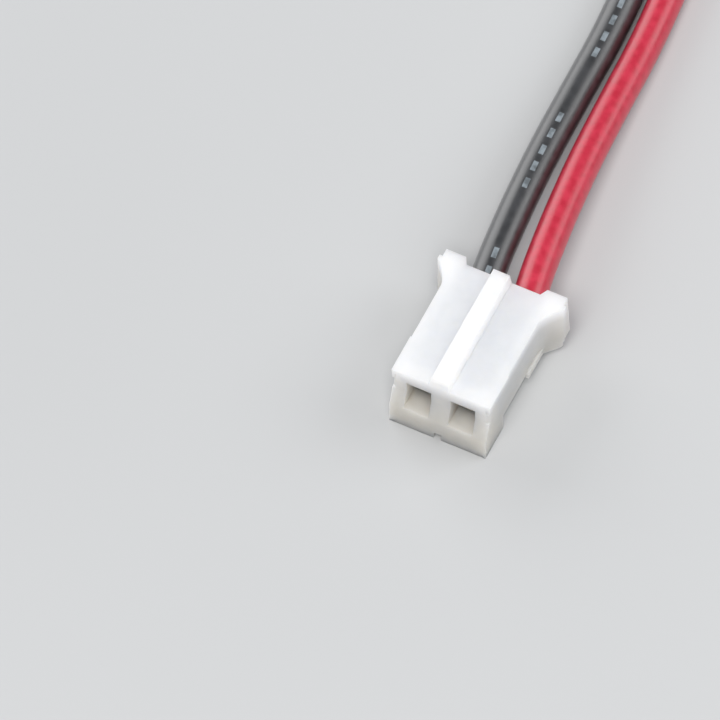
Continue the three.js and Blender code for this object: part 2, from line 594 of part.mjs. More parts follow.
const PLUG_FRONT = PACK_FRONT - PLUG_DISTANCE - PLUG_LENGTH;
const LEAD_START = BOARD_FRONT + JACKET_ON_BOARD;

// The middle line of one lead, from its solder joint to its contact.
function leadPoints(side) {
  const points = [];
  const exitX = EXIT_X + side * PAD_SPACING / 2;
  const plugX = PLUG_X + side * PITCH / 2;
  for (const y of [LEAD_START, PACK_FRONT]) points.push(new THREE.Vector3(exitX, y, PACK_LEAD_Z));
  for (const [ahead, x, lift, gap] of ROUTE) {
    points.push(new THREE.Vector3(x + side * (gap + LEAD_RADIUS), PACK_FRONT - ahead, lift + LEAD_RADIUS));
  }
  for (const inside of [0, PLUG_LENGTH - INSULATION_START]) {
    points.push(new THREE.Vector3(plugX, PACK_FRONT - PLUG_DISTANCE - inside, PLUG_LEAD_Z));
  }
  return points;
}

function lead(side) {
  const path = new THREE.CatmullRomCurve3(leadPoints(side), false, 'centripetal');
  const section = new THREE.Shape();
  for (let i = 0; i < LEAD_SIDES; i += 1) {
    const angle = (i / LEAD_SIDES) * 2 * Math.PI;
    const point = [LEAD_RADIUS * Math.cos(angle), LEAD_RADIUS * Math.sin(angle)];
    if (i === 0) section.moveTo(...point);
    else section.lineTo(...point);
  }
  const settings = { steps: LEAD_STEPS, bevelEnabled: false, extrudePath: path };
  return solid(new THREE.ExtrudeGeometry(section, settings));
}

function boardStrands(side) {
  const x = EXIT_X + side * PAD_SPACING / 2;
  const start = LEAD_START + PIECE_GAP;
  return barAlongY(x, PACK_LEAD_Z, STRAND_DIAMETER / 2, start, start + STRIP_LENGTH, 10);
}

// ---- Assembly ----

add('pouch_cup', geometryOf(pouchCup()), LAMINATE);
add('pouch_cover', geometryOf(pouchCover()), LAMINATE);
add('electrode_stack', geometryOf(electrodeStack()), STACK_LOOK);
add('flange_adhesive_left', geometryOf(adhesiveStrip(-1)), PAPER_LOOK);
add('flange_adhesive_right', geometryOf(adhesiveStrip(1)), PAPER_LOOK);
for (const [name, side, look] of [['positive', 1, LAMINATE], ['negative', -1, NICKEL]]) {
  const x = side * TAB_SPACING / 2;
  add(`${name}_tab`, geometryOf(tab(x)), look);
  add(`${name}_tab_seal`, geometryOf(tabSeal(x)), PAPER_LOOK);
  add(`${name}_weld_plate`, geometryOf(weldPlate(x)), NICKEL);
}
add('insulating_paper', geometryOf(insulatingPaper()), PAPER_LOOK);
add('protection_board', geometryOf(protectionBoard()), BOARD_GREEN);
add('protection_ic', geometryOf(chip(PROTECTION_IC, IC_X, 3)), CHIP_BLACK);
add('power_switch', geometryOf(chip(POWER_SWITCH, SWITCH_X, 4)), CHIP_BLACK);
add('sense_resistor', geometryOf(chipPart(CHIP_RESISTOR, -CHIP_X)), CHIP_BLACK);
add('filter_capacitor', geometryOf(chipPart(CHIP_CAPACITOR, CHIP_X)), CERAMIC);
add('board_tape', geometryOf(boardTape()), POLYIMIDE);

const plug = new THREE.Group();
plug.position.set(PLUG_X, PLUG_FRONT, 0);
pack.add(plug);
add('plug_housing', geometryOf(plugHousing()), NYLON, plug);

for (const [name, side, look] of [['black', -1, BLACK], ['red', 1, RED]]) {
  add(`solder_${name}`, geometryOf(solderJoint(EXIT_X + side * PAD_SPACING / 2)), TINNED);
  add(`${name}_strands_board`, geometryOf(boardStrands(side)), TINNED);
  add(`${name}_lead`, geometryOf(lead(side)), look);
  add(`${name}_strands_plug`, geometryOf(plugStrands(side * PITCH / 2)), TINNED, plug);
  add(`${name}_contact`, geometryOf(contact(side * PITCH / 2)), TINNED, plug);
}

export default pack;
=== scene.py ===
import math

import bmesh
import bpy
from mathutils import Matrix, Vector, noise


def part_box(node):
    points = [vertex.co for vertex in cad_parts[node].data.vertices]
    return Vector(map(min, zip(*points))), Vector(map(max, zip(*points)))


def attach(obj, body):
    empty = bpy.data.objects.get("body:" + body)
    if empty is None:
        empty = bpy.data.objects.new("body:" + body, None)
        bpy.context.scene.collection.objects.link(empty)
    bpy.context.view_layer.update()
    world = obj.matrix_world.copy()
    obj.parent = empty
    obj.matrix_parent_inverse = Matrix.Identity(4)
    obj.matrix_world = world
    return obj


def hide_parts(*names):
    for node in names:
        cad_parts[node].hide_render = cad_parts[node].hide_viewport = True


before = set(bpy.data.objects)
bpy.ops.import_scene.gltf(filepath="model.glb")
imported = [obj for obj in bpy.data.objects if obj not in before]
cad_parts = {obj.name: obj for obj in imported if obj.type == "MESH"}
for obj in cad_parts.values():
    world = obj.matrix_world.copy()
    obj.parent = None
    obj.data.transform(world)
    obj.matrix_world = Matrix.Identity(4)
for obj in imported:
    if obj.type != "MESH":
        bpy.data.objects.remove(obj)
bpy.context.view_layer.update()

# ---- View ----
# A long lens looks down on the plug from in front of it and from its +X side. It sees a field 30 mm
# wide, which the plug and the first stretch of its leads fill.
MM = 0.001
AZIMUTH = math.radians(25.8)
ELEVATION = math.radians(57.5)
DISTANCE = 1.25                    # metres
FIELD_WIDTH = 29.64 * MM
AIM_ASIDE = -4.04 * MM             # from the plug's middle
AIM_BEHIND = 1.05 * MM             # from the plug's front face
AIM_HEIGHT = 1.82 * MM

plug_low, plug_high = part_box("plug_housing")
plug_x = (plug_low.x + plug_high.x) / 2
aim = Vector((plug_x + AIM_ASIDE, plug_low.y + AIM_BEHIND, AIM_HEIGHT))
back = Vector((math.sin(AZIMUTH) * math.cos(ELEVATION), -math.cos(AZIMUTH) * math.cos(ELEVATION),
               math.sin(ELEVATION)))

camera = bpy.data.objects.new("camera", bpy.data.cameras.new("camera"))
bpy.context.collection.objects.link(camera)
camera.data.lens = camera.data.sensor_width * DISTANCE / FIELD_WIDTH
camera.location = aim + back * DISTANCE
camera.rotation_mode = "QUATERNION"
camera.rotation_quaternion = (-back).to_track_quat("-Z", "Y")
bpy.context.scene.camera = camera

# ---- Leads ----
# Two hook-up wires with a smooth extruded PVC jacket, black for minus and red for plus. They come
# out of the tape side by side, come down on the table and rise again into the plug.
LEAD_DIAMETER = 1.43 * MM
PAD_SPACING = 3.2 * MM             # between the two leads on the board
PITCH = 2.0 * MM                   # between the two leads in the plug
SOLDER_END = -19.55 * MM
PACK_FRONT = -21.0 * MM
PACK_LEAD_Z = 3.035 * MM
PLUG_BACK = -66.0 * MM
JACKET_END = -67.25 * MM
PLUG_LEAD_Z = 1.915 * MM
LINE_STEP = 0.5 * MM
JACKET_SIDES = 24
HAZE_SIZE = 0.4 * MM
WAVE_LENGTH = 1.6 * MM
WAVE_HEIGHT = 0.02 * MM
JACKET_LENGTH = 48.4 * MM
PRINT_SIDE = 0.185                 # where the dashes are, as a share of a turn round the jacket
DASH_PITCH = 0.95 * MM
DASH_LENGTH = 0.52 * MM
DASH_WIDTH = 0.22 * MM
GROUP_PITCH = 7.6 * MM
GROUP_LENGTH = 4.6 * MM

# Distance in front of the pack, sideways place of the pair's middle, height of the lead's underside
# and half the distance between the two leads, in millimetres.
ROUTE = [
    (1.5, 0.0, 2.12, 1.58), (4.0, 0.06, 1.72, 1.5), (7.0, 0.24, 1.02, 1.34), (10.0, 0.6, 0.4, 1.16),
    (13.0, 1.1, 0.08, 1.02), (16.0, 1.7, 0.02, 0.92), (19.0, 2.32, 0.02, 0.86), (22.0, 2.9, 0.02, 0.82),
    (25.0, 3.4, 0.02, 0.8), (28.0, 3.78, 0.04, 0.8), (31.0, 4.02, 0.15, 0.81), (34.0, 4.15, 0.42, 0.83),
    (37.0, 4.31, 0.72, 0.86), (39.0, 4.47, 0.9, 0.89), (41.0, 4.67, 1.04, 0.92), (43.0, 4.915, 1.14, 0.955),
]


def lead_points(side):
    """The middle line of one lead, from its solder joint to its contact."""
    points = [Vector((side * PAD_SPACING / 2, y, PACK_LEAD_Z)) for y in (SOLDER_END, PACK_FRONT)]
    for ahead, x, lift, apart in ROUTE:
        points.append(Vector(((x + side * apart) * MM, PACK_FRONT - ahead * MM,
                              lift * MM + LEAD_DIAMETER / 2)))
    for y in (PLUG_BACK, JACKET_END):
        points.append(Vector((plug_x + side * PITCH / 2, y, PLUG_LEAD_Z)))
    return points


def smooth_line(points, spacing):
    """Points about evenly spaced on a centripetal Catmull-Rom curve through the given points."""
    ends = [points[0] * 2 - points[1], *points, points[-1] * 2 - points[-2]]
    line = []
    for p0, p1, p2, p3 in zip(ends, ends[1:], ends[2:], ends[3:]):
        # The knots of p1, p2 and p3; the knot of p0 is 0.
        t1 = (p1 - p0).length ** 0.5
        t2 = t1 + (p2 - p1).length ** 0.5
        t3 = t2 + (p3 - p2).length ** 0.5
        steps = max(2, round((p2 - p1).length / spacing))
        for i in range(steps):
            t = t1 + (t2 - t1) * i / steps
            a1 = p0.lerp(p1, t / t1)
            a2 = p1.lerp(p2, (t - t1) / (t2 - t1))
            a3 = p2.lerp(p3, (t - t2) / (t3 - t2))
            b1 = a1.lerp(a2, t / t2)
            b2 = a2.lerp(a3, (t - t1) / (t3 - t1))
            line.append(b1.lerp(b2, (t - t1) / (t2 - t1)))
    return [*line, points[-1]]


def tube(name, line, radius):
    """A round tube with closed ends. Its UV map goes from 0 to 1 along the line in U and round it in V."""
    curve = bpy.data.curves.new(name, "CURVE")
    curve.dimensions = "3D"
    curve.twist_mode = "MINIMUM"
    curve.bevel_depth = radius
    curve.bevel_resolution = JACKET_SIDES // 2 - 2
    curve.use_fill_caps = True
    spline = curve.splines.new("POLY")
    spline.points.add(len(line) - 1)
    for point, place in zip(spline.points, line):
        point.co = (*place, 1)
    spline.use_smooth = True
    shaper = bpy.data.objects.new(name + "_curve", curve)
    bpy.context.collection.objects.link(shaper)
    graph = bpy.context.evaluated_depsgraph_get()
    mesh = bpy.data.meshes.new_from_object(shaper.evaluated_get(graph))
    mesh.name = name
    bpy.data.objects.remove(shaper)
    piece = bpy.data.objects.new(name, mesh)
    bpy.context.collection.objects.link(piece)
    return piece


def linear(code):
    """An sRGB hex colour as the linear values that a shader takes."""
    values = [int(code[i:i + 2], 16) / 255 for i in (1, 3, 5)]
    return (*[v / 12.92 if v <= 0.04045 else ((v + 0.055) / 1.055) ** 2.4 for v in values], 1.0)


def start_material(name):
    """A material with an empty node tree."""
    material = bpy.data.materials.new(name)
    material.use_nodes = True
    material.node_tree.nodes.clear()
    return material


def add_node(material, kind, inputs=None, stops=None, **settings):
    """Adds a node. Inputs hold values, or the sockets that feed it; stops are a ramp's positions and
    hex colours; settings are the node's own properties."""
    node = material.node_tree.nodes.new(kind)
    for name, value in settings.items():
        setattr(node, name, value)
    for name, value in (inputs or {}).items():
        if isinstance(value, bpy.types.NodeSocket):
            material.node_tree.links.new(value, node.inputs[name])
        else:
            node.inputs[name].default_value = value
    if stops:
        elements = node.color_ramp.elements
        while len(elements) < len(stops):
            elements.new(0.5)
        for element, (position, code) in zip(elements, stops):
            element.position = position
            element.color = linear(code)
    return node


def printed_dashes(material, uv, haze):
    """How much ink lies on the jacket: groups of dashes along one side of it, worn in places."""
    turn = add_node(material, "ShaderNodeSeparateXYZ", {"Vector": uv}).outputs
    masks = [add_node(material, "ShaderNodeMath", {
        0: turn["Y"], 1: PRINT_SIDE, 2: DASH_WIDTH / (math.pi * LEAD_DIAMETER) / 2}, operation="COMPARE")]
    for pitch, length in ((DASH_PITCH, DASH_LENGTH), (GROUP_PITCH, GROUP_LENGTH)):
        count = add_node(material, "ShaderNodeMath", {0: turn["X"], 1: JACKET_LENGTH / pitch},
                         operation="MULTIPLY")
        share = add_node(material, "ShaderNodeMath", {0: count.outputs[0]}, operation="FRACT")
        masks.append(add_node(material, "ShaderNodeMath", {0: share.outputs[0], 1: length / pitch},
                              operation="LESS_THAN"))
    ink = add_node(material, "ShaderNodeMapRange", {
        "Value": haze, "From Min": 0.36, "From Max": 0.6, "To Min": 0.25, "To Max": 0.6}).outputs["Result"]
    for mask in masks:
        ink = add_node(material, "ShaderNodeMath", {0: ink, 1: mask.outputs[0]},
                       operation="MULTIPLY").outputs[0]
    return ink


def pvc(name, dark, light, coat, ink=None):
    """Extruded PVC: one even colour under a soft sheen, with shallow waves from the extruder and fine
    haze. Where ink is given, a worn dashed line is printed along the jacket."""
    material = start_material(name)
    coordinates = add_node(material, "ShaderNodeTexCoord").outputs
    haze = add_node(material, "ShaderNodeTexNoise", {
        "Vector": coordinates["Object"], "Scale": 1 / HAZE_SIZE, "Detail": 3.0}).outputs["Fac"]
    waves = add_node(material, "ShaderNodeTexNoise", {
        "Vector": coordinates["Object"], "Scale": 1 / WAVE_LENGTH, "Detail": 2.0})
    colour = add_node(material, "ShaderNodeValToRGB", {"Fac": haze},
                      [(0.35, dark), (0.65, light)]).outputs["Color"]
    if ink:
        # In a colour Mix node, input 0 is the share, 6 and 7 are the colours and output 2 is the mix.
        mark = printed_dashes(material, coordinates["UV"], haze)
        colour = add_node(material, "ShaderNodeMix", {0: mark, 6: colour, 7: linear(ink)},
                          data_type="RGBA").outputs[2]
    rough = add_node(material, "ShaderNodeMapRange", {
        "Value": haze, "From Min": 0.3, "From Max": 0.7, "To Min": 0.28, "To Max": 0.42})
    bump = add_node(material, "ShaderNodeBump", {
        "Height": waves.outputs["Fac"], "Distance": WAVE_HEIGHT, "Strength": 0.3})
    shader = add_node(material, "ShaderNodeBsdfPrincipled", {
        "Base Color": colour, "Roughness": rough.outputs["Result"], "Normal": bump.outputs["Normal"],
        "IOR": 1.53, "Specular IOR Level": 0.7, "Coat Weight": coat, "Coat Roughness": 0.33})
    add_node(material, "ShaderNodeOutputMaterial", {"Surface": shader.outputs["BSDF"]})
    return material


jackets = {
    "black": pvc("black_extruded_pvc", "#222325", "#303134", coat=1.0, ink="#A9B6BF"),
    "red": pvc("red_extruded_pvc", "#B81834", "#C82642", coat=0.3),
}
leads = {}
for colour, side in (("black", -1), ("red", 1)):
    line = smooth_line(lead_points(side), LINE_STEP)
    lead = tube(colour + "_jacket", line, LEAD_DIAMETER / 2)
    lead.data.materials.append(jackets[colour])
    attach(lead, "root")
    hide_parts(colour + "_lead")
    leads[colour] = (lead, line)

# ---- Plug housing ----
# One injection moulding in natural nylon 66: a block with two cavities, a raised key rib on its
# roof, and two ears at its back. Light goes a little way into it, and its edges are barely broken.
EDGE_RADIUS = 0.06 * MM
MERGE_DISTANCE = 0.003 * MM
FLAT_ANGLE = math.radians(2)       # faces this near to level with each other are one face
CLOUD_SIZE = 1.4 * MM
SPARK_SIZE = 0.06 * MM
SPARK_DEPTH = 0.004 * MM
LIGHT_REACH = 1.8 * MM


def as_object(mesh, name, sharp_angle=40):
    """Turns a bmesh into an object that is smooth apart from edges sharper than the given degrees."""
    for face in mesh.faces:
        face.smooth = True
    data = bpy.data.meshes.new(name)
    mesh.to_mesh(data)
    mesh.free()
    piece = bpy.data.objects.new(name, data)
    bpy.context.collection.objects.link(piece)
    data.set_sharp_from_angle(angle=math.radians(sharp_angle))
    return piece


def softened_copy(node, name, radius, segments, least_angle):
    """A merged copy of a CAD node. Its flat faces are whole, and its edges past an angle in degrees
    are rounded."""
    mesh = bmesh.new()
    mesh.from_mesh(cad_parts[node].data)
    bmesh.ops.remove_doubles(mesh, verts=mesh.verts, dist=MERGE_DISTANCE)
    bmesh.ops.dissolve_limit(mesh, angle_limit=FLAT_ANGLE, verts=mesh.verts, edges=mesh.edges)
    edges = []
    for edge in mesh.edges:
        if len(edge.link_faces) == 2 and edge.calc_face_angle() > math.radians(least_angle):
            edges.append(edge)
    bmesh.ops.bevel(mesh, geom=edges, offset=radius, offset_type="OFFSET", segments=segments, profile=0.5,
                    affect="EDGES", material=-1, clamp_overlap=True)
    return as_object(mesh, name)


def nylon(low, high):
    """Natural nylon 66, moulded in a spark-eroded tool: milky white with a fine grain, with painted light: a
    painted highlight, cool, on top where the light is on it, and painted shade, warmer, low down where light
    came through it."""
    material = start_material("natural_nylon_66_painted_light")
    place = add_node(material, "ShaderNodeTexCoord").outputs["Object"]
    height = add_node(material, "ShaderNodeSeparateXYZ", {"Vector": place}).outputs["Z"]
    share = add_node(material, "ShaderNodeMapRange", {
        "Value": height, "From Min": low, "From Max": high}).outputs["Result"]
    # Painted light: the colour runs by height from darker, warmer painted shade low down to a whiter painted
    # highlight on the roof and rib.
    colour = add_node(material, "ShaderNodeValToRGB", {"Fac": share}, [
        (0.0, "#C6C2BB"), (0.35, "#CFCCC6"), (0.68, "#DAD8D6"), (0.86, "#FAFAFD")]).outputs["Color"]
    cloud = add_node(material, "ShaderNodeTexNoise", {
        "Vector": place, "Scale": 1 / CLOUD_SIZE, "Detail": 3.0})
    tone = add_node(material, "ShaderNodeValToRGB", {"Fac": cloud.outputs["Fac"]}, [
        (0.35, "#F7F8F9"), (0.65, "#FFFFFF")]).outputs["Color"]
    mixed = add_node(material, "ShaderNodeMix", {0: 1.0, 6: colour, 7: tone}, data_type="RGBA",
                     blend_type="MULTIPLY")
    grain = add_node(material, "ShaderNodeTexNoise", {
        "Vector": place, "Scale": 1 / SPARK_SIZE, "Detail": 2.0})
    bump = add_node(material, "ShaderNodeBump", {
        "Height": grain.outputs["Fac"], "Distance": SPARK_DEPTH, "Strength": 0.5})
    shader = add_node(material, "ShaderNodeBsdfPrincipled", {
        "Base Color": mixed.outputs[2], "Roughness": 0.42, "IOR": 1.53, "Normal": bump.outputs["Normal"],
        "Subsurface Weight": 1.0, "Subsurface Radius": (1.0, 0.92, 0.8), "Subsurface Scale": LIGHT_REACH})
    add_node(material, "ShaderNodeOutputMaterial", {"Surface": shader.outputs["BSDF"]})
    return material


housing = softened_copy("plug_housing", "nylon_housing", radius=EDGE_RADIUS, segments=3, least_angle=20)
housing.data.materials.append(nylon(plug_low.z, plug_high.z))
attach(housing, "root")
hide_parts("plug_housing")

# ---- Bare strands ----
# Seven tinned copper strands, one in the middle and six twisted round it, where the jacket is
# stripped: at the plug inside the crimp, and on the board inside the solder.
STRANDS_AROUND = 6
LAY_LENGTH = 5.0 * MM
STRAND_FILL = 0.97                 # a strand is this much of its room, so neighbours don't touch
STRAND_SIDES = 8
TWIST_STEP = 0.15 * MM
WELD_DISTANCE = 0.0005 * MM
TIN_CLOUD = 0.1 * MM


def finish_piece(mesh, name, sharp_angle=40):
    """Turns a new shape into an object, with its doubles merged and its faces all pointing one way out."""
    bmesh.ops.remove_doubles(mesh, verts=mesh.verts, dist=WELD_DISTANCE)
    bmesh.ops.recalc_face_normals(mesh, faces=mesh.faces)
    return as_object(mesh, name, sharp_angle)


def tinned_copper():
    """Drawn copper wire with a tin coat: bright, slightly grey and a little cloudy."""
    material = start_material("tinned_copper_wire")
    place = add_node(material, "ShaderNodeTexCoord").outputs["Object"]
    cloud = add_node(material, "ShaderNodeTexNoise", {"Vector": place, "Scale": 1 / TIN_CLOUD, "Detail": 3.0})
    colour = add_node(material, "ShaderNodeValToRGB", {"Fac": cloud.outputs["Fac"]}, [
        (0.3, "#B3B2AE"), (0.7, "#CFCECA")])
    shader = add_node(material, "ShaderNodeBsdfPrincipled", {
        "Base Color": colour.outputs["Color"], "Metallic": 1.0, "Roughness": 0.28})
    add_node(material, "ShaderNodeOutputMaterial", {"Surface": shader.outputs["BSDF"]})
    return material


def twisted_strands(node, name):
    """A bundle of twisted strands in the place of a CAD node, along Y."""
    low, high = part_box(node)
    centre = (low + high) / 2
    length = high.y - low.y
    spacing = (high.z - low.z) / 3
    steps = max(8, round(length / TWIST_STEP))
    mesh = bmesh.new()
    for strand in range(STRANDS_AROUND + 1):
        angle = strand / STRANDS_AROUND * 2 * math.pi
        offset = 0 if strand == STRANDS_AROUND else spacing
        ring = bmesh.ops.create_circle(mesh, cap_ends=True, radius=spacing / 2 * STRAND_FILL,
                                       segments=STRAND_SIDES)["verts"]
        start = Vector((centre.x + offset * math.cos(angle), low.y, centre.z + offset * math.sin(angle)))
        bmesh.ops.rotate(mesh, verts=ring, cent=(0, 0, 0), matrix=Matrix.Rotation(math.pi / 2, 3, "X"))
        bmesh.ops.translate(mesh, verts=ring, vec=start)
        edges = {e for v in ring for e in v.link_edges}
        faces = {f for v in ring for f in v.link_faces}
        bmesh.ops.spin(mesh, geom=[*ring, *edges, *faces], cent=(centre.x, low.y, centre.z), axis=(0, 1, 0),
                       dvec=(0, length / steps, 0), angle=2 * math.pi * length / LAY_LENGTH, steps=steps)
    piece = finish_piece(mesh, name)
    piece.data.materials.append(wire)
    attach(piece, "root")
    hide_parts(node)
    return piece


wire = tinned_copper()
for colour in leads:
    twisted_strands(colour + "_strands_plug", colour + "_crimped_strands")
for colour in leads:
    twisted_strands(colour + "_strands_board", colour + "_soldered_strands")

# ---- Contacts ----
# Stamped and folded phosphor bronze strip, 0.15 mm thick and tin-plated: a spring box, a crimp on
# the strands and a cradle under the jacket. The press leaves fine lines along the strip.
STRIP_EDGE = 0.02 * MM
PRESS_RELIEF = 0.002 * MM


def tin_plate(name, dark, light, line_length=1.2 * MM, line_width=0.04 * MM):
    """Rolled and plated sheet metal: a soft grey shine with fine lines along Y."""
    material = start_material(name)
    place = add_node(material, "ShaderNodeTexCoord").outputs["Object"]
    drawn = add_node(material, "ShaderNodeMapping", {
        "Vector": place, "Scale": (1 / line_width, 1 / line_length, 1 / line_width)})
    lines = add_node(material, "ShaderNodeTexNoise", {
        "Vector": drawn.outputs["Vector"], "Scale": 1.0, "Detail": 3.0}).outputs["Fac"]
    colour = add_node(material, "ShaderNodeValToRGB", {"Fac": lines}, [(0.3, dark), (0.7, light)])
    rough = add_node(material, "ShaderNodeMapRange", {
        "Value": lines, "From Min": 0.3, "From Max": 0.7, "To Min": 0.25, "To Max": 0.38})
    bump = add_node(material, "ShaderNodeBump", {
        "Height": lines, "Distance": PRESS_RELIEF, "Strength": 0.4})
    shader = add_node(material, "ShaderNodeBsdfPrincipled", {
        "Base Color": colour.outputs["Color"], "Metallic": 1.0, "Roughness": rough.outputs["Result"],
        "Normal": bump.outputs["Normal"]})
    add_node(material, "ShaderNodeOutputMaterial", {"Surface": shader.outputs["BSDF"]})
    return material


contact_metal = tin_plate("tinned_phosphor_bronze", "#B9B4A8", "#D6D2C8")
for colour in leads:
    contact = softened_copy(colour + "_contact", colour + "_crimp_contact", radius=STRIP_EDGE, segments=2,
                            least_angle=25)
    contact.data.materials.append(contact_metal)
    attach(contact, "root")
    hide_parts(colour + "_contact")

# ---- Pouch ----
# The cell's skin is aluminium foil between nylon and polypropylene, cold-drawn into a shallow cup,
# closed with a flat sheet and heat-sealed round the rim. The side rims are folded up and glued on.
FILM = 0.15 * MM
LAYER_GAP = 0.05 * MM
BOARD_CLEARANCE = 0.3 * MM         # between the board and the cup
TERRACE_INSET = 0.65 * MM          # the sealed ledge is narrower than the cup by this on each side
DRAWN_CORNER = 1.3 * MM
RIM_BEND = 0.5 * MM
BEND_STEP = 1.0 * MM
TOUCH = 0.01 * MM                  # a point this near to a plane lies on it
ON_PLANE = 1e-7                    # the same for a cutting plane, in metres
CROWN = 0.14 * MM                  # the top falls by this towards its edges
CROWN_REACH = 4 * MM
DENTS = ((7 * MM, 0.1 * MM), (2.4 * MM, 0.035 * MM))    # size and depth
WALL_POWER = 5                     # keeps the sideways dents near the walls
RIM_WAVE = 3 * MM
RIM_DROP = 0.18 * MM
RIM_LEAN = 0.05 * MM
ROLLED_WIDTH = 0.2 * MM
ROLLED_LENGTH = 3 * MM
PATCH_SIZE = 6 * MM
FOIL_GRAIN = 0.08 * MM
FOIL_RELIEF = 0.003 * MM


def foil_laminate():
    """Nylon-coated aluminium foil: silvery and satin, with the rolling direction just visible."""
    material = start_material("aluminium_pouch_laminate")
    place = add_node(material, "ShaderNodeTexCoord").outputs["Object"]
    rolled = add_node(material, "ShaderNodeMapping", {
        "Vector": place, "Scale": (1 / ROLLED_WIDTH, 1 / ROLLED_LENGTH, 1 / ROLLED_WIDTH)})
    lines = add_node(material, "ShaderNodeTexNoise", {
        "Vector": rolled.outputs["Vector"], "Scale": 1.0, "Detail": 3.0}).outputs["Fac"]
    patches = add_node(material, "ShaderNodeTexNoise", {
        "Vector": place, "Scale": 1 / PATCH_SIZE, "Detail": 4.0})
    grain = add_node(material, "ShaderNodeTexNoise", {
        "Vector": place, "Scale": 1 / FOIL_GRAIN, "Detail": 2.0})
    colour = add_node(material, "ShaderNodeValToRGB", {"Fac": patches.outputs["Fac"]}, [
        (0.3, "#C3C6C9"), (0.7, "#D0D3D5")])
    rough = add_node(material, "ShaderNodeMapRange", {
        "Value": lines, "From Min": 0.3, "From Max": 0.7, "To Min": 0.38, "To Max": 0.46})
    height = add_node(material, "ShaderNodeMath", {0: lines, 1: 0.2, 2: grain.outputs["Fac"]},
                      operation="MULTIPLY_ADD")
    bump = add_node(material, "ShaderNodeBump", {
        "Height": height.outputs[0], "Distance": FOIL_RELIEF, "Strength": 0.5})
    shader = add_node(material, "ShaderNodeBsdfPrincipled", {
        "Base Color": colour.outputs["Color"], "Metallic": 0.95, "Roughness": rough.outputs["Result"],
        "Normal": bump.outputs["Normal"], "Coat Weight": 0.25, "Coat Roughness": 0.25})
    add_node(material, "ShaderNodeOutputMaterial", {"Surface": shader.outputs["BSDF"]})
    return material


def cut_across(mesh, axis, start, end, step):
    """Cuts every face on evenly spaced planes across one axis, so that the sheet can bend."""
    count = max(1, round((end - start) / step))
    for i in range(1, count):
        place, normal = Vector((0, 0, 0)), Vector((0, 0, 0))
        place[axis] = start + (end - start) * i / count
        normal[axis] = 1
        bmesh.ops.bisect_plane(mesh, geom=[*mesh.verts, *mesh.edges, *mesh.faces], dist=ON_PLANE,
                               plane_co=place, plane_no=normal)


def share_of(distance, reach):
    """0 at no distance and 1 from the given reach on."""
    return min(1.0, max(0.0, distance / reach))


def thicken(piece, thickness):
    """Gives a sheet its thickness, on the side that its faces point away from."""
    wall = piece.modifiers.new("film", "SOLIDIFY")
    wall.thickness = thickness
    wall.offset = -1


def pouch_cup(front):
    """The drawn cup behind the given front: a box without a floor, with round edges, a slightly
    crowned top and shallow dents."""
    low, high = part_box("pouch_cup")
    size = Vector((high.x - low.x, high.y - front, high.z - low.z))
    middle = Vector((0, (high.y + front) / 2, (high.z + low.z) / 2))
    half = size / 2
    mesh = bmesh.new()
    cube = bmesh.ops.create_cube(mesh, size=1.0)["verts"]
    bmesh.ops.scale(mesh, verts=cube, vec=size)
    bmesh.ops.translate(mesh, verts=cube, vec=middle)
    underside = [f for f in mesh.faces if f.normal.z < -0.5]
    bmesh.ops.delete(mesh, geom=underside, context="FACES_ONLY")
    drawn = [e for e in mesh.edges if len(e.link_faces) == 2]
    bmesh.ops.bevel(mesh, geom=drawn, offset=DRAWN_CORNER, offset_type="OFFSET", segments=6, profile=0.5,
                    affect="EDGES", material=-1)
    cut_across(mesh, 0, low.x, high.x, BEND_STEP)
    cut_across(mesh, 1, front, high.y, BEND_STEP)
    cut_across(mesh, 2, low.z, high.z, BEND_STEP)
    for vert in mesh.verts:
        place = vert.co.copy()
        inside = min(half.x - abs(place.x), half.y - abs(place.y - middle.y))
        if place.z > high.z - TOUCH:
            vert.co.z -= CROWN * (1 - share_of(inside - DRAWN_CORNER, CROWN_REACH) ** 0.5)
        dent = abs(sum(noise.noise(place / length) * depth for length, depth in DENTS))
        outward = Vector((place.x / half.x, (place.y - middle.y) / half.y, 0))
        vert.co -= Vector([share ** WALL_POWER for share in outward]) * dent
        if place.z > middle.z:
            vert.co.z -= dent
    bmesh.ops.smooth_vert(mesh, verts=[v for v in mesh.verts if not v.is_boundary], factor=0.5,
                          use_axis_x=True, use_axis_y=True, use_axis_z=True)
    cup = finish_piece(mesh, "drawn_foil_cup", sharp_angle=60)
    thicken(cup, FILM)
    cup.data.materials.append(foil)
    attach(cup, "root")
    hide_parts("pouch_cup")


def terrace(front):
    """The sealed ledge of the cup's film in front of it, under the board."""
    low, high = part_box("pouch_cup")
    paper_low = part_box("insulating_paper")[0]
    mesh = bmesh.new()
    corners = bmesh.ops.create_grid(mesh, x_segments=12, y_segments=3, size=0.5)["verts"]
    half = high.x - TERRACE_INSET
    bmesh.ops.scale(mesh, verts=corners, vec=(2 * half, front - low.y + FILM, 1))
    bmesh.ops.translate(mesh, verts=corners, vec=(0, (low.y + front + FILM) / 2, paper_low.z - LAYER_GAP))
    ledge = finish_piece(mesh, "sealed_terrace")
    thicken(ledge, FILM)
    ledge.data.materials.append(foil)
    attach(ledge, "root")


